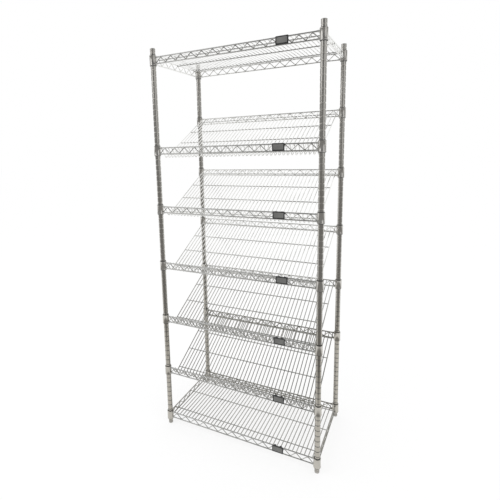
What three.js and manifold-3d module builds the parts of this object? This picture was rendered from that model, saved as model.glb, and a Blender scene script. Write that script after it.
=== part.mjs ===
// Bread rack: four grooved posts carry a flat wire shelf at the top, five slanted wire
// shelves and a flat wire shelf at the bottom. Millimetres, +Z up, front towards -Y.
import * as THREE from "three";
import { mergeVertices } from "three/addons/utils/BufferGeometryUtils.js";
import Module from "manifold-3d";

const wasm = await Module();
wasm.setup();

// Rack
const POST_SPAN_X = 768;
const POST_SPAN_Y = 419;
const SIDES = 8;
const CLEARANCE = 0.3;
const WELD = 1.2;

// Posts, caps, inserts and feet
const POST_RADIUS = 12.7;
const POST_BORE = 11;
const POST_BASE = 19;
const POST_TOP = 1876;
const CAP_RADIUS = 12.9;
const CAP_RIM = 1.5;
const CAP_DOME = 2.4;
const CAP_PLUG = 12;
const INSERT_LENGTH = 22;
const STEM_RADIUS = 5;
const STEM_LENGTH = 34;
const FOOT_RADIUS = 11.5;
const FOOT_HEIGHT = 16;
const FOOT_EDGE = 3;

// Collars and split sleeves, measured from the middle of the collar
const COLLAR_RADIUS = 18.4;
const COLLAR_HALF = 22;
const SLEEVE_BELOW = 25.5;
const SLEEVE_ABOVE = 24.5;
const SLEEVE_FOOT_RADIUS = 15.7;
const SLEEVE_HEAD_RADIUS = 14.4;

// Ledges
const ROD_RADIUS = 3;
const ROD_SIDES = 6;
const TOP_ROD = 13.4;
const BOTTOM_ROD = -15;
const ZIGZAG_WIRE = 4;
const ZIGZAG_LONG = 28;
const ZIGZAG_SHORT = 14;

// Cross wires and struts
const WIRE_COUNT = 41;
const WIRE_MARGIN = 21;
const WIRE = 3.4;
const RAIL = 5;
const STRUT_RADIUS = 2.5;
const FLAT_STRUTS = [0.12, 0.5, 0.88];
const SLANT_STRUTS = [0.095, 0.37, 0.645, 0.92];
const LIP_HEAD = 1.5;
const LIP_BACK = 38;
const LIP_DROP = 19.5;

// Shelf heights: the middle of each front collar above the floor, and the top one below the post end
const BOTTOM_SHELF_Z = 49;
const FIRST_SLANT_Z = 302;
const SLANT_PITCH = 279.4;
const SLANT_RISE = 152.4;
const TOP_SHELF_DROP = 50;

// Label holders
const LABEL_WIDTH = 52;
const LABEL_FOOT = -13.5;
const LABEL_THICK = 3.2;
const LABEL_HOOK = 1;
const LABEL_LIP = 2.4;
const LABEL_BORDER = 4;
const LABEL_RECESS = 0.8;
const LABEL_INSETS = [159, 174, 173, 160, 171, 175, 179];

const chrome = { color: 0xb4b2aa, roughness: 0.28, metalness: 1 };
const blackPlastic = { color: 0x26262a, roughness: 0.5, metalness: 0 };
const footPlastic = { color: 0x6b6a67, roughness: 0.55, metalness: 0 };

const X = new THREE.Vector3(1, 0, 0);
const Y = new THREE.Vector3(0, 1, 0);
const Z = new THREE.Vector3(0, 0, 1);
const corners = [
  ["front_left", -1, -1],
  ["front_right", 1, -1],
  ["rear_right", 1, 1],
  ["rear_left", -1, 1],
];
const rack = new THREE.Group();

// A closed geometry as a solid that can be joined and cut
function solid(geometry) {
  const bare = geometry.clone();
  bare.deleteAttribute("normal");
  bare.deleteAttribute("uv");
  const merged = mergeVertices(bare, 1e-4);
  const index = merged.index.array;
  const triangles = [];
  for (let i = 0; i < index.length; i += 3) {
    const [a, b, c] = [index[i], index[i + 1], index[i + 2]];
    if (a !== b && b !== c && c !== a) triangles.push(a, b, c);
  }
  const mesh = new wasm.Mesh({
    numProp: 3,
    vertProperties: new Float32Array(merged.attributes.position.array),
    triVerts: new Uint32Array(triangles),
  });
  return new wasm.Manifold(mesh);
}

// A solid as a geometry with flat faces
function geometryOf(body) {
  const mesh = body.getMesh();
  const geometry = new THREE.BufferGeometry();
  geometry.setAttribute("position", new THREE.BufferAttribute(mesh.vertProperties, 3));
  geometry.setIndex(new THREE.BufferAttribute(mesh.triVerts, 1));
  const flat = geometry.toNonIndexed();
  flat.computeVertexNormals();
  return flat;
}

function join(bodies) {
  return bodies.reduce((sum, body) => sum.add(body));
}

function addMesh(name, body, look, x = 0, y = 0, z = 0) {
  const mesh = new THREE.Mesh(geometryOf(body), new THREE.MeshStandardMaterial(look));
  mesh.name = name;
  mesh.position.set(x, y, z);
  rack.add(mesh);
}

// A solid of revolution about Z from pairs of radius and height
function turned(profile) {
  const points = profile.map(([radius, height]) => new THREE.Vector2(radius, height));
  return solid(new THREE.LatheGeometry(points, SIDES, Math.PI / SIDES).rotateX(Math.PI / 2));
}

// A straight round bar between two points
function bar(from, to, radius, sides) {
  const along = new THREE.Vector3().subVectors(to, from);
  const geometry = new THREE.CylinderGeometry(radius, radius, along.length(), sides);
  geometry.applyQuaternion(new THREE.Quaternion().setFromUnitVectors(Y, along.clone().normalize()));
  const middle = new THREE.Vector3().addVectors(from, to).multiplyScalar(0.5);
  return solid(geometry.translate(middle.x, middle.y, middle.z));
}

// The outline of a bent flat wire along a line of points, with mitred bends
function bentOutline(points, width) {
  const sides = [[], []];
  points.forEach((point, i) => {
    const before = points[Math.max(i - 1, 0)];
    const after = points[Math.min(i + 1, points.length - 1)];
    const into = i > 0 ? point.clone().sub(before).normalize() : after.clone().sub(point).normalize();
    const out = i < points.length - 1 ? after.clone().sub(point).normalize() : into;
    const normal = new THREE.Vector2(-into.y - out.y, into.x + out.x).normalize();
    const reach = width / 2 / normal.dot(new THREE.Vector2(-into.y, into.x));
    sides[0].push(point.clone().addScaledVector(normal, reach));
    sides[1].unshift(point.clone().addScaledVector(normal, -reach));
  });
  return new THREE.Shape([...sides[0], ...sides[1]]);
}

// A shape drawn in a vertical plane, thickened evenly to both sides of that plane
function slab(shape, across, thickness) {
  const geometry = new THREE.ExtrudeGeometry(shape, { depth: thickness, bevelEnabled: false });
  geometry.translate(0, 0, -thickness / 2);
  const along = across === X ? Y : X;
  const through = across === X ? X : Y.clone().negate();
  return geometry.applyMatrix4(new THREE.Matrix4().makeBasis(along, Z, through));
}

const flatFace = Math.cos(Math.PI / SIDES);
const collarFace = COLLAR_RADIUS * flatFace;
const halfX = POST_SPAN_X / 2;
const halfY = POST_SPAN_Y / 2;
const matEnd = halfX - WIRE_MARGIN;
const wirePitch = (2 * matEnd) / (WIRE_COUNT - 1);

function sleeveRadius(height) {
  const share = (height + SLEEVE_BELOW) / (SLEEVE_BELOW + SLEEVE_ABOVE);
  return SLEEVE_FOOT_RADIUS + (SLEEVE_HEAD_RADIUS - SLEEVE_FOOT_RADIUS) * share;
}

// A post, its cap, its insert and its levelling foot, about the post's own axis
const post = turned([
  [POST_BORE, POST_BASE],
  [POST_RADIUS, POST_BASE],
  [POST_RADIUS, POST_TOP],
  [POST_BORE, POST_TOP],
  [POST_BORE, POST_BASE],
]);
const plugRadius = POST_BORE - CLEARANCE;
const capBase = POST_TOP + CLEARANCE;
const cap = turned([
  [0, POST_TOP - CAP_PLUG],
  [plugRadius, POST_TOP - CAP_PLUG],
  [plugRadius, capBase],
  [CAP_RADIUS, capBase],
  [CAP_RADIUS, capBase + CAP_RIM],
  [CAP_RADIUS / 2, capBase + CAP_RIM + CAP_DOME * 0.8],
  [0, capBase + CAP_RIM + CAP_DOME],
]);
const insert = turned([
  [STEM_RADIUS + CLEARANCE, POST_BASE],
  [plugRadius, POST_BASE],
  [plugRadius, POST_BASE + INSERT_LENGTH],
  [STEM_RADIUS + CLEARANCE, POST_BASE + INSERT_LENGTH],
  [STEM_RADIUS + CLEARANCE, POST_BASE],
]);
const foot = turned([
  [0, 0],
  [FOOT_RADIUS - FOOT_EDGE, 0],
  [FOOT_RADIUS, FOOT_EDGE],
  [FOOT_RADIUS, FOOT_HEIGHT],
  [STEM_RADIUS, FOOT_HEIGHT],
  [STEM_RADIUS, FOOT_HEIGHT + STEM_LENGTH],
  [0, FOOT_HEIGHT + STEM_LENGTH],
]);
for (const [corner, sx, sy] of corners) {
  addMesh(`post_${corner}`, post, chrome, sx * halfX, sy * halfY);
  addMesh(`cap_${corner}`, cap, chrome, sx * halfX, sy * halfY);
  addMesh(`insert_${corner}`, insert, footPlastic, sx * halfX, sy * halfY);
  addMesh(`foot_${corner}`, foot, footPlastic, sx * halfX, sy * halfY);
}

// The tapered sleeve and the collar that sits on it
const sleeveBore = POST_RADIUS + CLEARANCE;
const sleeve = turned([
  [sleeveBore, -SLEEVE_BELOW],
  [SLEEVE_FOOT_RADIUS, -SLEEVE_BELOW],
  [SLEEVE_HEAD_RADIUS, SLEEVE_ABOVE],
  [sleeveBore, SLEEVE_ABOVE],
  [sleeveBore, -SLEEVE_BELOW],
]);
const collar = turned([
  [sleeveRadius(-COLLAR_HALF) + CLEARANCE, -COLLAR_HALF],
  [COLLAR_RADIUS, -COLLAR_HALF],
  [COLLAR_RADIUS, COLLAR_HALF],
  [sleeveRadius(COLLAR_HALF) + CLEARANCE, COLLAR_HALF],
  [sleeveRadius(-COLLAR_HALF) + CLEARANCE, -COLLAR_HALF],
]);

// A truss ledge along X or Y: two rods with a zigzag wire between them
function ledge(axis, halfSpan, bends) {
  const end = halfSpan - collarFace + WELD;
  const rods = [TOP_ROD, BOTTOM_ROD].map((height) => {
    const from = axis.clone().multiplyScalar(-end).addScaledVector(Z, height);
    const to = axis.clone().multiplyScalar(end).addScaledVector(Z, height);
    return bar(from, to, ROD_RADIUS, ROD_SIDES);
  });
  const run = (2 * end) / bends;
  const room = TOP_ROD - BOTTOM_ROD - 2 * (ROD_RADIUS + CLEARANCE);
  const slope = Math.atan2(room - ZIGZAG_WIRE, run);
  const reach = room / 2 - ZIGZAG_WIRE / 2 / Math.cos(slope);
  const middle = (TOP_ROD + BOTTOM_ROD) / 2;
  const points = [];
  for (let i = 0; i <= bends; i += 1) {
    const height = middle + (i % 2 === 0 ? -reach : reach);
    points.push(new THREE.Vector2(-end + i * run, height));
  }
  const across = axis === X ? Y : X;
  const zigzag = solid(slab(bentOutline(points, ZIGZAG_WIRE), across, ZIGZAG_WIRE));
  return join([...rods, zigzag]);
}

const longLedge = ledge(X, halfX, ZIGZAG_LONG);
const shortLedge = ledge(Y, halfY, ZIGZAG_SHORT);

function wirePositions() {
  return Array.from({ length: WIRE_COUNT }, (_, i) => -matEnd + i * wirePitch);
}

// A flat shelf: ledges on four sides, cross wires level with the top rods, struts below
function flatShelf() {
  const bodies = corners.map(([, sx, sy]) => collar.translate([sx * halfX, sy * halfY, 0]));
  for (const side of [-1, 1]) {
    bodies.push(longLedge.translate([0, side * halfY, 0]));
    bodies.push(shortLedge.translate([side * halfX, 0, 0]));
  }
  const wireReach = halfY - ROD_RADIUS + WELD;
  for (const x of wirePositions()) {
    const from = new THREE.Vector3(x, -wireReach, TOP_ROD);
    const to = new THREE.Vector3(x, wireReach, TOP_ROD);
    bodies.push(bar(from, to, WIRE / 2, 3));
  }
  const strutHeight = TOP_ROD - WIRE / 2 - CLEARANCE - STRUT_RADIUS;
  for (const share of FLAT_STRUTS) {
    const y = -halfY + share * POST_SPAN_Y;
    const from = new THREE.Vector3(-halfX, y, strutHeight);
    const to = new THREE.Vector3(halfX, y, strutHeight);
    bodies.push(bar(from, to, STRUT_RADIUS, ROD_SIDES));
  }
  return join(bodies);
}

// A slanted shelf: each cross wire drops from the front top rod, bends and climbs to the rear one
function slantShelf() {
  const bodies = corners.map(([, sx, sy]) => {
    return collar.translate([sx * halfX, sy * halfY, sy > 0 ? SLANT_RISE : 0]);
  });
  bodies.push(longLedge.translate([0, -halfY, 0]));
  bodies.push(longLedge.translate([0, halfY, SLANT_RISE]));
  const behind = -halfY + ROD_RADIUS + CLEARANCE + WIRE / 2;
  const bend = new THREE.Vector2(-halfY + LIP_BACK, BOTTOM_ROD - LIP_DROP);
  const finish = new THREE.Vector2(halfY, TOP_ROD + SLANT_RISE);
  const climb = finish.clone().sub(bend).normalize();
  const rear = finish.clone().addScaledVector(climb, -(ROD_RADIUS - WELD));
  const wirePath = [new THREE.Vector2(behind, TOP_ROD + LIP_HEAD), bend, rear];
  const railPath = [new THREE.Vector2(-halfY, TOP_ROD), bend, rear];
  const thin = solid(slab(bentOutline(wirePath, WIRE), X, WIRE));
  const thick = solid(slab(bentOutline(railPath, RAIL), X, RAIL));
  wirePositions().forEach((x, i) => {
    const outer = i === 0 || i === WIRE_COUNT - 1;
    bodies.push((outer ? thick : thin).translate([x, 0, 0]));
  });
  const below = WIRE / 2 + CLEARANCE + STRUT_RADIUS;
  for (const share of SLANT_STRUTS) {
    const y = bend.x + share * (finish.x - bend.x) + climb.y * below;
    const z = bend.y + share * (finish.y - bend.y) - climb.x * below;
    const from = new THREE.Vector3(-matEnd, y, z);
    const to = new THREE.Vector3(matEnd, y, z);
    bodies.push(bar(from, to, STRUT_RADIUS, ROD_SIDES));
  }
  return join(bodies);
}

// A label holder that hangs on the top rod of a front ledge, with a shallow recess for the label
function labelHolder() {
  const back = -ROD_RADIUS - CLEARANCE;
  const front = back - LABEL_THICK;
  const under = TOP_ROD + ROD_RADIUS + CLEARANCE;
  const head = under + LABEL_HOOK;
  const tail = ROD_RADIUS + CLEARANCE + LABEL_HOOK;
  const outline = [
    [front, LABEL_FOOT],
    [back, LABEL_FOOT],
    [back, under],
    [tail - LABEL_HOOK, under],
    [tail - LABEL_HOOK, head - LABEL_LIP],
    [tail, head - LABEL_LIP],
    [tail, head],
    [front, head],
  ].map(([y, z]) => new THREE.Vector2(y, z));
  const body = solid(slab(new THREE.Shape(outline), X, LABEL_WIDTH));
  const height = head - LABEL_FOOT - 2 * LABEL_BORDER;
  const width = LABEL_WIDTH - 2 * LABEL_BORDER;
  const recess = new THREE.BoxGeometry(width, 2 * LABEL_RECESS, height);
  return body.subtract(solid(recess.translate(0, front, (head + LABEL_FOOT) / 2)));
}

const flat = flatShelf();
const slanted = slantShelf();
const label = labelHolder();
const shelves = [{ name: "top_shelf", body: flat, z: POST_TOP - TOP_SHELF_DROP, rise: 0 }];
for (let step = 4; step >= 0; step -= 1) {
  const z = FIRST_SLANT_Z + step * SLANT_PITCH;
  shelves.push({ name: `slant_shelf_${5 - step}`, body: slanted, z, rise: SLANT_RISE });
}
shelves.push({ name: "bottom_shelf", body: flat, z: BOTTOM_SHELF_Z, rise: 0 });
shelves.forEach(({ name, body, z, rise }, i) => {
  addMesh(name, body, chrome, 0, 0, z);
  addMesh(`label_${name}`, label, blackPlastic, halfX - LABEL_INSETS[i], -halfY, z);
  for (const [corner, sx, sy] of corners) {
    const height = z + (sy > 0 ? rise : 0);
    addMesh(`sleeve_${name}_${corner}`, sleeve, blackPlastic, sx * halfX, sy * halfY, height);
  }
});

export default rack;
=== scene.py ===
import math

import bpy
import numpy as np
from mathutils import Matrix, Vector


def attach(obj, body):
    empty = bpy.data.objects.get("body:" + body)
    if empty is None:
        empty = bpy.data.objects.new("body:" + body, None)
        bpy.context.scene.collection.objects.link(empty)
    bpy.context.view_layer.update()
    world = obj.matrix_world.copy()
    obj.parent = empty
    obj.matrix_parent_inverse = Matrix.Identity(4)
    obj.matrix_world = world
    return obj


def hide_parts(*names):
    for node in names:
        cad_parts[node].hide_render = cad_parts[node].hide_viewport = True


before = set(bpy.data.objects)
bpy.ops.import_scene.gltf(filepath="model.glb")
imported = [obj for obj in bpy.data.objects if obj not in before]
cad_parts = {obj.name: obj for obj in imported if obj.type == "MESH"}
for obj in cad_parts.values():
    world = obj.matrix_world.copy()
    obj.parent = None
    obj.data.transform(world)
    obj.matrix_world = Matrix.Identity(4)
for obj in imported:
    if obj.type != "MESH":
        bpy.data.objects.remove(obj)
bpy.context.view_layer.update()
scene = bpy.context.scene
scene.view_settings.view_transform = "Standard"

# Sizes in millimetres: those of the solids, but posts, collars, sleeves, struts, rails and feet
# are slightly slimmer, and the cross wires are thicker
HALF_X, HALF_Y = 384.0, 209.5
CORNERS = [
    ("front_left", -1, -1), ("front_right", 1, -1), ("rear_right", 1, 1), ("rear_left", -1, 1),
]

# Posts: each groove is pairs of height from its middle and depth
POST_R, POST_BORE, POST_BASE, POST_TOP = 12.2, 10.9, 19.0, 1876.0
POST_EDGE = 0.4
GROOVE_PITCH, GROOVES_FROM, GROOVES_UNTIL = 25.4, 12.0, 4
GROOVE_SHAPE = ((-2.4, 0.0), (-1.2, 1.1), (1.2, 1.1), (2.4, 0.0))

# Caps, feet and stems: pairs of radius and height, the cap's from the top of the post
CAP_EDGE = ((10.6, -12), (10.6, 0.3), (12.3, 0.3), (12.7, 0.7), (12.6, 1.6))
DOME_R, DOME_BASE, DOME_RISE = 12.2, 1.9, 2.25
DOME_ANGLES = (0.15, 0.4, 0.7, 1.0, 1.25, 1.45)
FOOT_PAD = (
    (7.8, 0), (9.6, 0.4), (10.5, 1.4), (10.6, 3.2), (10.6, 9.2),
    (10.2, 10.2), (8.8, 10.8), (8.8, 15.2), (8.3, 16),
)
STEM_R, THREAD_R, STEM_BASE = 4.0, 4.7, 15.5
THREAD_BASE, THREAD_TURNS, THREAD_PITCH = 16, 11, 3

# Collars and the split sleeves inside them
COLLAR_R, COLLAR_BORE, COLLAR_HALF = 16.3, 14.9, 22.0
SLEEVE_BELOW, SLEEVE_ABOVE, SLEEVE_BORE = 24.4, 24.5, 12.5
SLEEVE_FOOT_R, SLEEVE_HEAD_R = 15.3, 14.0
SEAM_ANGLE = 0.04

# Ledges: the rods flare at the collars, in pairs of distance from the end and radius
ROD_R, TOP_ROD, BOTTOM_ROD = 3.0, 13.4, -15.0
ROD_INTO_COLLAR = 1.0
ROD_FLARE = ((0, 4.6), (5, 4.1), (14, 3.2), (20, ROD_R))
ZIGZAG_R, ZIGZAG_LONG, ZIGZAG_SHORT = 2.0, 28, 14
ZIGZAG_SINK, ZIGZAG_OVERSHOOT, ZIGZAG_BEND = 0.9, 2.2, 7

# Cross wires, the rails at both ends of their row, and the struts under them
WIRE_COUNT, WIRE_PITCH, WIRE_R = 41, 18.15, 2.1
WIRES = [(i - (WIRE_COUNT - 1) / 2) * WIRE_PITCH for i in range(WIRE_COUNT)]
FLAT_WIRE_SHORT = 1.5
RAIL_R, STRUT_R, STRUT_SINK = 2.4, 2.4, 0.5
FLAT_STRUTS = (0.12, 0.5, 0.88)
SLANT_STRUTS = (0.095, 0.37, 0.645, 0.92)
LIP_BACK, LIP_DROP, LIP_BEND, SLANT_RISE = 38.0, 19.5, 9, 152.4
RAIL_START, WIRE_START = (1.0, 0), (4.7, 1.5)
SLANT_WIRE_SHORT = 1.2

# Label holders
LABEL_WIDTH, LABEL_LOW, LABEL_HIGH = 52, -13.5, 17.7
LABEL_BACK, LABEL_THICK = -3.3, 3.2
HOOK_SHAPE = (
    (LABEL_BACK + 0.4, 16.75), (LABEL_BACK + 0.4, 17.6), (4.0, 17.6), (4.25, 17.3),
    (4.25, 15.4), (3.35, 15.4), (3.35, 16.75),
)
HOOK_LEFT_EDGES, HOOK_WIDTH = (-18, 8), 10

# Shelves: name, height of the front collars, rise to the rear, place of the label
SLANT_Z = [302.0 + 279.4 * step for step in range(5)]
SHELVES = [("top_shelf", 1826.0, 0.0, 225.0)]
SHELVES += [
    (f"slant_shelf_{5 - step}", SLANT_Z[step], SLANT_RISE, x)
    for step, x in ((4, 210.0), (3, 211.0), (2, 224.0), (1, 213.0), (0, 209.0))
]
SHELVES += [("bottom_shelf", 49.0, 0.0, 205.0)]

# Camera at the photograph's angle: radians, pixels of the picture, metres
AZIMUTH, ELEVATION, ROLL = 0.48457, 0.16267, -0.02855
PICTURE, SENSOR = 500, 36
FOCAL, CENTRE_X, CENTRE_Y = 397.886, 212.39, 215.0
CAMERA_PLACE = (0.7259, -1.7805, 1.4181)

# Stage in metres: grey in front of the rack, white where the photograph's camera looks
FLOOR_HALF = 30
FLOOR_AXIS, FLOOR_GREY_UNTIL, FLOOR_WHITE_FROM = (-0.40, 0.92, 0), -1.1, -0.6
FLOOR_GREY, FLOOR_WHITE = (0.27, 0.265, 0.255), (1.0, 1.0, 1.0)
FLOOR_LIT, FLOOR_GLOW_SHARE = (0.97, 0.97, 0.97), 0.8
STUDIO_FRONT = (0.12, -0.91, 0.37)
STUDIO_SHADES = [(0.0, 1.0), (0.43, 1.0), (0.5, 0.72), (0.58, 0.28), (0.75, 0.2), (1.0, 0.19)]
HORIZON_GREY = (0.3, 0.3, 0.295)
LAMP_TARGET = (0, 0, 0.9)

# Heights in metres between which a chrome goes from its foot tone to its head tone; this change of
# tone by height is painted reflection and shade
FOOT_HEIGHT, HEAD_HEIGHT = 0.5, 0.95
GRAIN_DEPTH = 0.0002

forward = Vector((
    -math.sin(AZIMUTH) * math.cos(ELEVATION),
    math.cos(AZIMUTH) * math.cos(ELEVATION),
    -math.sin(ELEVATION),
))
level = Vector((math.cos(AZIMUTH), math.sin(AZIMUTH), 0))
upright = level.cross(forward)
right = level * math.cos(ROLL) + upright * math.sin(ROLL)
up = upright * math.cos(ROLL) - level * math.sin(ROLL)
camera_data = bpy.data.cameras.new("camera")
camera_data.sensor_width = SENSOR
camera_data.lens = FOCAL / PICTURE * SENSOR
camera_data.shift_x = (PICTURE / 2 - CENTRE_X) / PICTURE
camera_data.shift_y = (CENTRE_Y - PICTURE / 2) / PICTURE
camera_data.clip_end = 100
camera = bpy.data.objects.new("camera", camera_data)
turn = Matrix((right, up, -forward)).transposed().to_4x4()
camera.matrix_world = Matrix.Translation(CAMERA_PLACE) @ turn
scene.collection.objects.link(camera)
scene.camera = camera


class Builder:
    """Gathers rings of points into one mesh, in millimetres."""

    def __init__(self):
        self.points = []
        self.faces = []
        self.slots = []

    def add_ring(self, ring):
        start = len(self.points)
        self.points.extend(ring)
        return list(range(start, start + len(ring)))

    def bridge(self, a, b, slot=0):
        count = len(a)
        for i in range(count):
            j = (i + 1) % count
            self.faces.append((a[i], a[j], b[j], b[i]))
            self.slots.append(slot)

    def cap(self, ring, slot=0):
        self.faces.append(tuple(ring))
        self.slots.append(slot)

    def tube(self, path, radius, sides, slot=0):
        """A round wire along a path; radius is one number or one for each point."""
        path = np.asarray(path, float)
        radii = np.broadcast_to(np.asarray(radius, float), (len(path),))
        steps = np.diff(path, axis=0)
        steps /= np.linalg.norm(steps, axis=1)[:, None]
        tangents = np.vstack([steps[:1], steps[:-1] + steps[1:], steps[-1:]])
        tangents /= np.linalg.norm(tangents, axis=1)[:, None]
        upward = abs(tangents[0][2]) >= 0.9
        helper = np.array([1.0, 0, 0]) if upward else np.array([0, 0, 1.0])
        side = np.cross(tangents[0], helper)
        side /= np.linalg.norm(side)
        previous = None
        angles = np.arange(sides) * 2 * math.pi / sides
        for point, tangent, size in zip(path, tangents, radii):
            side = side - tangent * side.dot(tangent)
            side /= np.linalg.norm(side)
            other = np.cross(tangent, side)
            ring = self.add_ring([
                point + size * (math.cos(t) * side + math.sin(t) * other) for t in angles
            ])
            if previous is None:
                self.cap(ring[::-1], slot)
            else:
                self.bridge(previous, ring, slot)
            previous = ring
        self.cap(previous, slot)

    def turned(self, profile, centre, sides=32, slot=0, ends=False, bands=()):
        """Pairs of radius and height turned about Z, as a closed ring or, with ends, a capped body.

        The rows of faces listed in bands go into slot 1.
        """
        rings = []
        angles = np.arange(sides) * 2 * math.pi / sides
        for radius, height in profile:
            rings.append(self.add_ring([
                (
                    centre[0] + radius * math.cos(t),
                    centre[1] + radius * math.sin(t),
                    centre[2] + height,
                )
                for t in angles
            ]))
        for i, (a, b) in enumerate(zip(rings, rings[1:])):
            self.bridge(a, b, 1 if i in bands else slot)
        if ends:
            self.cap(rings[0][::-1], slot)
            self.cap(rings[-1], slot)
        else:
            self.bridge(rings[-1], rings[0], slot)

    def half_shell(self, profile, centre, start, sweep, sides=14):
        """Part of a turned ring, closed at its two cut ends."""
        rows = []
        for k in range(sides + 1):
            t = start + sweep * k / sides
            rows.append(self.add_ring([
                (centre[0] + r * math.cos(t), centre[1] + r * math.sin(t), centre[2] + h)
                for r, h in profile
            ]))
        for a, b in zip(rows, rows[1:]):
            self.bridge(b, a)
        self.cap(rows[0][::-1])
        self.cap(rows[-1])

    def make(self, name, materials, body, replaced, slot_name, sharp=35):
        mesh = bpy.data.meshes.new(name)
        points = [tuple(0.001 * float(v) for v in p) for p in self.points]
        mesh.from_pydata(points, [], self.faces)
        for material in materials:
            mesh.materials.append(material)
        mesh.polygons.foreach_set("material_index", self.slots)
        mesh.polygons.foreach_set("use_smooth", [True] * len(self.faces))
        mesh.set_sharp_from_angle(angle=math.radians(sharp))
        mesh.update()
        obj = bpy.data.objects.new(name, mesh)
        scene.collection.objects.link(obj)
        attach(obj, body)
        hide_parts(replaced)


# Nodes
def new_material(name):
    material = bpy.data.materials.new(name)
    material.use_nodes = True
    nodes, links = material.node_tree.nodes, material.node_tree.links
    return material, nodes, links, nodes["Principled BSDF"]


def noise(nodes, links, scale, detail, stretch=(1, 1, 1)):
    where = nodes.new("ShaderNodeTexCoord")
    mapping = nodes.new("ShaderNodeMapping")
    mapping.inputs["Scale"].default_value = stretch
    texture = nodes.new("ShaderNodeTexNoise")
    texture.inputs["Scale"].default_value = scale
    texture.inputs["Detail"].default_value = detail
    links.new(where.outputs["Object"], mapping.inputs["Vector"])
    links.new(mapping.outputs["Vector"], texture.inputs["Vector"])
    return texture.outputs["Fac"]


def ramp(nodes, links, source, stops):
    """A colour ramp; each stop is a place and a colour or a grey."""
    node = nodes.new("ShaderNodeValToRGB")
    while len(node.color_ramp.elements) < len(stops):
        node.color_ramp.elements.new(0.5)
    for element, (place, value) in zip(node.color_ramp.elements, stops):
        element.position = place
        element.color = (*value, 1) if isinstance(value, tuple) else (value, value, value, 1)
    links.new(source, node.inputs["Fac"])
    return node.outputs["Color"]


def combine(nodes, links, operation, first, second):
    """One step of arithmetic on two outputs, or on an output and a number."""
    node = nodes.new("ShaderNodeMath")
    node.operation = operation
    links.new(first, node.inputs[0])
    if isinstance(second, float):
        node.inputs[1].default_value = second
    else:
        links.new(second, node.inputs[1])
    return node.outputs["Value"]


def mix(nodes, links, share, first, second):
    """Two colours, each a colour or an output, mixed by a share."""
    node = nodes.new("ShaderNodeMixRGB")
    links.new(share, node.inputs["Fac"])
    for socket, value in (("Color1", first), ("Color2", second)):
        if isinstance(value, tuple):
            node.inputs[socket].default_value = (*value, 1)
        else:
            links.new(value, node.inputs[socket])
    return node.outputs["Color"]


def along(nodes, links, source, axis, low, high):
    """0 to 1 between two distances along an axis."""
    product = nodes.new("ShaderNodeVectorMath")
    product.operation = "DOT_PRODUCT"
    product.inputs[1].default_value = axis
    links.new(source, product.inputs[0])
    scaled = nodes.new("ShaderNodeMapRange")
    scaled.inputs["From Min"].default_value = low
    scaled.inputs["From Max"].default_value = high
    links.new(product.outputs["Value"], scaled.inputs["Value"])
    return scaled.outputs["Result"]


def bump(nodes, links, shader, source, strength):
    node = nodes.new("ShaderNodeBump")
    node.inputs["Strength"].default_value = strength
    node.inputs["Distance"].default_value = GRAIN_DEPTH
    links.new(source, node.inputs["Height"])
    links.new(node.outputs["Normal"], shader.inputs["Normal"])


# Materials
def chrome(name, low, high, rough_low, rough_high, streak=(1, 1, 1), foot=1.0, head=1.0):
    """Plated metal; foot and head are the shares of its tone close to the floor and high up, which
    paint reflection and shade into it by height.
    """
    material, nodes, links, shader = new_material(name)
    shader.inputs["Metallic"].default_value = 1
    clouds = noise(nodes, links, 9, 6, streak)
    tone = ramp(nodes, links, clouds, [(0.3, low), (0.7, high)])
    where = nodes.new("ShaderNodeTexCoord")
    axes = nodes.new("ShaderNodeSeparateXYZ")
    links.new(where.outputs["Object"], axes.inputs["Vector"])
    # painted reflection and shade: the tone is scaled by height
    painted_reflection_by_height = ramp(nodes, links, axes.outputs["Z"], [(FOOT_HEIGHT, foot), (HEAD_HEIGHT, head)])
    product = nodes.new("ShaderNodeMixRGB")
    product.blend_type = "MULTIPLY"
    product.inputs["Fac"].default_value = 1
    links.new(tone, product.inputs["Color1"])
    links.new(painted_reflection_by_height, product.inputs["Color2"])
    links.new(product.outputs["Color"], shader.inputs["Base Color"])
    smears = noise(nodes, links, 60, 4, streak)
    gloss = ramp(nodes, links, smears, [(0.3, rough_low), (0.75, rough_high)])
    links.new(gloss, shader.inputs["Roughness"])
    bump(nodes, links, shader, noise(nodes, links, 900, 2), 0.12)
    return material


def plastic(name, low, high, rough_low, rough_high, worn):
    """Moulded plastic, with a worn tone in patches along its edges."""
    material, nodes, links, shader = new_material(name)
    clouds = noise(nodes, links, 40, 5)
    tone = ramp(nodes, links, clouds, [(0.3, low), (0.72, high)])
    pointed = nodes.new("ShaderNodeNewGeometry").outputs["Pointiness"]
    edges = ramp(nodes, links, pointed, [(0.52, 0.0), (0.6, 1.0)])
    scuffs = noise(nodes, links, 220, 3)
    broken = combine(nodes, links, "MULTIPLY", edges, scuffs)
    links.new(mix(nodes, links, broken, tone, worn), shader.inputs["Base Color"])
    gloss = ramp(nodes, links, scuffs, [(0.3, rough_low), (0.7, rough_high)])
    links.new(gloss, shader.inputs["Roughness"])
    bump(nodes, links, shader, noise(nodes, links, 1400, 2), 0.25)
    return material


# The foot and head shares below are painted reflection and shade, each chrome's tone set by height
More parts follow.
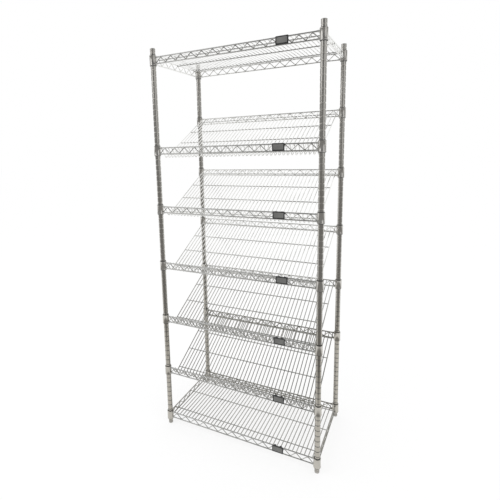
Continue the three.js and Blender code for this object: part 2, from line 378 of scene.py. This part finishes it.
POST_CHROME = chrome(
    "post_chrome", (0.66, 0.64, 0.60), (0.80, 0.78, 0.74), 0.12, 0.24,
    streak=(1, 1, 0.15), foot=(0.60, 0.585, 0.55), head=0.70,
)
# Painted shade: a darker copy of the post chrome for the grooves of the posts
SHADED_GROOVE_CHROME = chrome(
    "shaded_groove_chrome", (0.48, 0.465, 0.435), (0.62, 0.605, 0.57), 0.2, 0.35, foot=0.5, head=1.1,
)
# foot: painted shade, the wires are much darker close to the floor
WIRE_CHROME = chrome(
    "wire_chrome", (0.80, 0.80, 0.78), (0.93, 0.93, 0.91), 0.08, 0.2, foot=(0.36, 0.352, 0.33),
)
# Painted shade: a darker copy of the wire chrome for the front ledges and for the struts under the
# wires
SHADED_LEDGE_CHROME = chrome(
    "shaded_ledge_chrome", (0.56, 0.56, 0.545), (0.68, 0.68, 0.665), 0.08, 0.2, foot=0.9,
)
COLLAR_CHROME = chrome(
    "collar_chrome", (0.70, 0.68, 0.645), (0.84, 0.82, 0.785), 0.14, 0.28,
    foot=(0.66, 0.65, 0.62), head=0.8,
)
CAP_CHROME = chrome("cap_chrome", (0.74, 0.73, 0.70), (0.88, 0.87, 0.84), 0.12, 0.24)
BLACK = plastic(
    "sleeve_plastic", (0.012, 0.012, 0.013), (0.03, 0.03, 0.032), 0.38, 0.56, (0.10, 0.10, 0.10),
)
LABEL_BLACK = plastic(
    "label_plastic", (0.010, 0.010, 0.011), (0.020, 0.020, 0.021), 0.45, 0.6, (0.06, 0.06, 0.06),
)
LABEL_GREY = plastic(
    "label_card", (0.11, 0.11, 0.106), (0.16, 0.16, 0.153), 0.4, 0.55, (0.24, 0.24, 0.23),
)
FOOT_GREY = plastic(
    "foot_plastic", (0.30, 0.288, 0.262), (0.39, 0.376, 0.346), 0.35, 0.5, (0.46, 0.45, 0.42),
)


# Shelves
def rounded(points, radius, steps):
    """A line of points with each inner bend rounded off."""
    points = [np.asarray(p, float) for p in points]
    path = [points[0]]
    for before, corner, after in zip(points, points[1:], points[2:]):
        into = before - corner
        out = after - corner
        cut = min(radius, np.linalg.norm(into) * 0.45, np.linalg.norm(out) * 0.45)
        a = corner + into / np.linalg.norm(into) * cut
        b = corner + out / np.linalg.norm(out) * cut
        for k in range(steps + 1):
            t = k / steps
            path.append((1 - t) ** 2 * a + 2 * t * (1 - t) * corner + t ** 2 * b)
    path.append(points[-1])
    return path


def add_ledge(build, axis, offset, half_span, height, bends, slot=0):
    """Two rods and a zigzag wire between two collars; axis is the one that it runs in."""
    def place(distance, level):
        if axis == "x":
            return (distance, offset, height + level)
        return (offset, distance, height + level)

    end = half_span - COLLAR_R + ROD_INTO_COLLAR
    stations = [-end + d for d, _ in ROD_FLARE] + [end - d for d, _ in reversed(ROD_FLARE)]
    radii = [r for _, r in ROD_FLARE] + [r for _, r in reversed(ROD_FLARE)]
    for level in (TOP_ROD, BOTTOM_ROD):
        build.tube([place(s, level) for s in stations], radii, 12, slot)
    top = TOP_ROD - ROD_R - ZIGZAG_R + ZIGZAG_SINK + ZIGZAG_OVERSHOOT
    foot = BOTTOM_ROD + ROD_R + ZIGZAG_R - ZIGZAG_SINK - ZIGZAG_OVERSHOOT
    run = 2 * end / bends
    line = [place(-end + i * run, foot if i % 2 == 0 else top) for i in range(bends + 1)]
    build.tube(rounded(line, ZIGZAG_BEND, 4), ZIGZAG_R, 8, slot)


def add_collar(build, x, y, z):
    """A ring with a thicker band at each end."""
    r, inner, half = COLLAR_R, COLLAR_BORE, COLLAR_HALF
    profile = [
        (inner + 0.5, -half), (r - 0.9, -half), (r, -half + 0.9), (r, -half + 3.2),
        (r - 0.5, -half + 4.4), (r - 0.5, half - 4.4), (r, half - 3.2), (r, half - 0.9),
        (r - 0.9, half), (inner - 0.7, half), (inner - 0.9, half - 0.6), (inner + 0.3, -half + 0.6),
    ]
    build.turned(profile, (x, y, z), slot=2)


def flat_shelf(z):
    build = Builder()
    for _, sx, sy in CORNERS:
        add_collar(build, sx * HALF_X, sy * HALF_Y, z)
    for side in (-1, 1):
        # slot 1, the darker copy of the wire chrome, is painted shade on the front ledge
        add_ledge(build, "x", side * HALF_Y, HALF_X, z, ZIGZAG_LONG, 1 if side < 0 else 0)
        add_ledge(build, "y", side * HALF_X, HALF_Y, z, ZIGZAG_SHORT)
    reach = HALF_Y - FLAT_WIRE_SHORT
    for x in WIRES:
        build.tube([(x, y, z + TOP_ROD) for y in (-reach, 0, reach)], WIRE_R, 8)
    level = z + TOP_ROD - WIRE_R - STRUT_R + STRUT_SINK
    # the struts under the wires take slot 1, the painted shade chrome
    for share in FLAT_STRUTS:
        y = -HALF_Y + share * 2 * HALF_Y
        build.tube([(x, y, level) for x in (-HALF_X, 0, HALF_X)], STRUT_R, 10, 1)
    return build


def slant_shelf(z):
    """The wires drop from the front ledge into a V and climb to the rear ledge."""
    build = Builder()
    for _, sx, sy in CORNERS:
        add_collar(build, sx * HALF_X, sy * HALF_Y, z + (SLANT_RISE if sy > 0 else 0))
    # the front ledge and the struts take slot 1, the painted shade chrome
    add_ledge(build, "x", -HALF_Y, HALF_X, z, ZIGZAG_LONG, 1)
    add_ledge(build, "x", HALF_Y, HALF_X, z + SLANT_RISE, ZIGZAG_LONG)
    bend = np.array([-HALF_Y + LIP_BACK, BOTTOM_ROD - LIP_DROP])
    finish = np.array([HALF_Y, TOP_ROD + SLANT_RISE])
    climb = (finish - bend) / np.linalg.norm(finish - bend)
    for i, x in enumerate(WIRES):
        rail = i in (0, WIRE_COUNT - 1)
        back, rise = RAIL_START if rail else WIRE_START
        start = (-HALF_Y + back, TOP_ROD + rise)
        line = [(x, p[0], z + p[1]) for p in (start, bend, finish - climb * SLANT_WIRE_SHORT)]
        build.tube(rounded(line, LIP_BEND, 5), RAIL_R if rail else WIRE_R, 8)
    below = WIRE_R + STRUT_R - STRUT_SINK
    for share in SLANT_STRUTS:
        p = bend + share * (finish - bend) + np.array([climb[1], -climb[0]]) * below
        build.tube([(x, p[0], z + p[1]) for x in (WIRES[0], 0, WIRES[-1])], STRUT_R, 10, 1)
    return build


# Posts with a ring groove every inch, caps, inserts and feet
def post_profile():
    """The profile of a post, and the numbers of its rows that are groove."""
    profile = [
        (POST_BORE, POST_BASE), (POST_R - POST_EDGE, POST_BASE), (POST_R, POST_BASE + POST_EDGE),
    ]
    grooves = set()
    height = POST_BASE + GROOVES_FROM
    while height < POST_TOP - GROOVES_UNTIL:
        grooves.update(range(len(profile), len(profile) + len(GROOVE_SHAPE) - 1))
        for reach, depth in GROOVE_SHAPE:
            profile.append((POST_R - depth, height + reach))
        height += GROOVE_PITCH
    profile += [
        (POST_R, POST_TOP - POST_EDGE), (POST_R - POST_EDGE, POST_TOP), (POST_BORE, POST_TOP),
    ]
    return profile, grooves


def cap_profile():
    profile = [(radius, POST_TOP + height) for radius, height in CAP_EDGE]
    for t in DOME_ANGLES:
        profile.append((DOME_R * math.cos(t), POST_TOP + DOME_BASE + DOME_RISE * math.sin(t)))
    return profile


def thread_profile():
    profile = [(STEM_R, STEM_BASE)]
    for index in range(THREAD_TURNS):
        base = THREAD_BASE + index * THREAD_PITCH
        profile += [(STEM_R, base), (THREAD_R, base + 1), (STEM_R, base + 2)]
    return profile


for corner, sx, sy in CORNERS:
    centre = (sx * HALF_X, sy * HALF_Y, 0)
    build = Builder()
    profile, grooves = post_profile()
    # the groove rows take the darker chrome, painted shade in the grooves
    build.turned(profile, centre, 28, bands=grooves)
    build.make(
        f"post_tube_{corner}", [POST_CHROME, SHADED_GROOVE_CHROME],
        "frame", f"post_{corner}", "chrome", 25,
    )
    build = Builder()
    build.turned(cap_profile(), centre, ends=True)
    build.make(f"post_cap_{corner}", [CAP_CHROME], "frame", f"cap_{corner}", "chrome")
    build = Builder()
    build.turned(FOOT_PAD, centre, ends=True)
    build.turned(thread_profile(), centre, 20, ends=True)
    build.make(
        f"levelling_{corner}", [FOOT_GREY], f"foot_{corner}", f"foot_{corner}", "grey_plastic",
    )
    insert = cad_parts[f"insert_{corner}"]
    insert.data.materials.clear()
    insert.data.materials.append(FOOT_GREY)


def add_sleeve(build, x, y, z):
    """A tapered sleeve in two halves, with a seam on each side."""
    bore, foot, head = SLEEVE_BORE, SLEEVE_FOOT_R, SLEEVE_HEAD_R
    low, high = -SLEEVE_BELOW, SLEEVE_ABOVE
    profile = [
        (bore, low), (foot - 0.9, low), (foot - 0.2, low + 0.8), (foot - 0.25, low + 3),
        (foot - 0.5, low + 3.4), (14.5, -21), (13.75, 21), (head - 0.3, high - 1.4),
        (head - 0.7, high - 0.3), (bore, high),
    ]
    for start in (0, math.pi):
        build.half_shell(profile, (x, y, z), start + SEAM_ANGLE, math.pi - 2 * SEAM_ANGLE)


def rectangle(width, low, high, radius, y, steps=4):
    """An upright rectangle with rounded corners, as a ring of points."""
    half = width / 2
    points = []
    for cx, cz, first in ((half, high, 0), (-half, high, 1), (-half, low, 2), (half, low, 3)):
        px = cx - math.copysign(radius, cx)
        pz = cz - radius if cz == high else cz + radius
        for k in range(steps + 1):
            t = (first + k / steps) * math.pi / 2
            points.append((px + radius * math.cos(t), y, pz + radius * math.sin(t)))
    return points


def label_holder(x, z):
    """A framed plate with a card in its recess, hooked over the top rod."""
    build = Builder()
    front = LABEL_BACK - LABEL_THICK

    def ring(inset, radius, y):
        points = rectangle(
            LABEL_WIDTH - 2 * inset, LABEL_LOW + inset, LABEL_HIGH - inset, radius, y,
        )
        return build.add_ring([(x + p[0], -HALF_Y + p[1], z + p[2]) for p in points])

    rings = [
        ring(0, 2.6, LABEL_BACK), ring(0, 2.6, front + 0.9), ring(0.3, 2.4, front + 0.3),
        ring(0.9, 2.2, front), ring(3.4, 1.6, front), ring(4.0, 1.4, front + 0.3),
        ring(4.1, 1.3, front + 0.8),
    ]
    build.cap(rings[0][::-1])
    for a, b in zip(rings, rings[1:]):
        build.bridge(a, b)
    card = [
        ring(4.4, 1.2, front + 0.75), ring(4.6, 1.1, front + 0.5), ring(5.2, 1.0, front + 0.45),
    ]
    build.bridge(rings[-1], card[0])
    for a, b in zip(card, card[1:]):
        build.bridge(a, b, 1)
    build.cap(card[-1], 1)
    for side in HOOK_LEFT_EDGES:
        ends = []
        for edge in (side, side + HOOK_WIDTH):
            ends.append(build.add_ring([(x + edge, -HALF_Y + p[0], z + p[1]) for p in HOOK_SHAPE]))
        build.bridge(ends[0], ends[1])
        build.cap(ends[0][::-1])
        build.cap(ends[1])
    return build


for name, z, rise, label_x in SHELVES:
    build = slant_shelf(z) if rise else flat_shelf(z)
    # the second material is the painted shade copy of the wire chrome
    build.make(f"wire_{name}", [WIRE_CHROME, SHADED_LEDGE_CHROME, COLLAR_CHROME], name, name, "chrome", 40)
    label_holder(label_x, z).make(
        f"holder_{name}", [LABEL_BLACK, LABEL_GREY], name, f"label_{name}", "black_plastic",
    )
    for corner, sx, sy in CORNERS:
        build = Builder()
        add_sleeve(build, sx * HALF_X, sy * HALF_Y, z + (rise if sy > 0 else 0))
        build.make(
            f"split_{name}_{corner}", [BLACK], "frame", f"sleeve_{name}_{corner}", "black_plastic",
        )


# Floor and studio
def shown_rays(nodes, links):
    """1 for the rays that show the background: from the camera, off metal and through glass."""
    path = nodes.new("ShaderNodeLightPath")
    total = path.outputs["Is Camera Ray"]
    for kind in ("Is Glossy Ray", "Is Transmission Ray"):
        total = combine(nodes, links, "MAXIMUM", total, path.outputs[kind])
    return total


floor_mesh = bpy.data.meshes.new("floor")
f = FLOOR_HALF
floor_mesh.from_pydata([(-f, -f, 0), (f, -f, 0), (f, f, 0), (-f, f, 0)], [], [(0, 1, 2, 3)])
floor = bpy.data.objects.new("floor", floor_mesh)
scene.collection.objects.link(floor)
material, nodes, links, shader = new_material("pale_floor")
place = nodes.new("ShaderNodeTexCoord").outputs["Object"]
depth = along(nodes, links, place, FLOOR_AXIS, FLOOR_GREY_UNTIL, FLOOR_WHITE_FROM)
paper = ramp(nodes, links, depth, [(0.0, FLOOR_GREY), (1.0, FLOOR_WHITE)])
shown = shown_rays(nodes, links)
links.new(mix(nodes, links, shown, FLOOR_LIT, paper), shader.inputs["Base Color"])
shader.inputs["Roughness"].default_value = 0.9
shader.inputs["Specular IOR Level"].default_value = 0
sheet = nodes.new("ShaderNodeEmission")
links.new(paper, sheet.inputs["Color"])
blend = nodes.new("ShaderNodeMixShader")
links.new(combine(nodes, links, "MULTIPLY", shown, FLOOR_GLOW_SHARE), blend.inputs["Fac"])
links.new(shader.outputs["BSDF"], blend.inputs[1])
links.new(sheet.outputs["Emission"], blend.inputs[2])
links.new(blend.outputs["Shader"], nodes["Material Output"].inputs["Surface"])
floor_mesh.materials.append(material)

# The studio is white behind the rack and grey in front of it; diffuse rays see even white
world = bpy.data.worlds.new("studio")
scene.world = world
world.use_nodes = True
nodes, links = world.node_tree.nodes, world.node_tree.links
direction = nodes.new("ShaderNodeTexCoord").outputs["Generated"]
facing = along(nodes, links, direction, STUDIO_FRONT, -1, 1)
shade = ramp(nodes, links, facing, STUDIO_SHADES)
split = nodes.new("ShaderNodeSeparateXYZ")
links.new(direction, split.inputs["Vector"])
low = ramp(nodes, links, split.outputs["Z"], [(0.18, 1.0), (0.32, 0.0)])
ahead = ramp(nodes, links, facing, [(0.26, 0.0), (0.38, 1.0)])
room = combine(nodes, links, "MULTIPLY", low, ahead)
studio = mix(nodes, links, room, shade, HORIZON_GREY)
sky = mix(nodes, links, shown_rays(nodes, links), (1, 1, 1), studio)
links.new(sky, nodes["Background"].inputs["Color"])


def lamp(name, place, size, power):
    data = bpy.data.lights.new(name, "AREA")
    data.size = size
    data.energy = power
    obj = bpy.data.objects.new(name, data)
    obj.location = place
    aim = Vector(LAMP_TARGET) - Vector(place)
    obj.rotation_euler = aim.to_track_quat("-Z", "Y").to_euler()
    scene.collection.objects.link(obj)


lamp("key", (-2.4, -2.6, 3.2), 2.6, 24)
lamp("fill", (3.0, -1.6, 2.2), 2.4, 10)
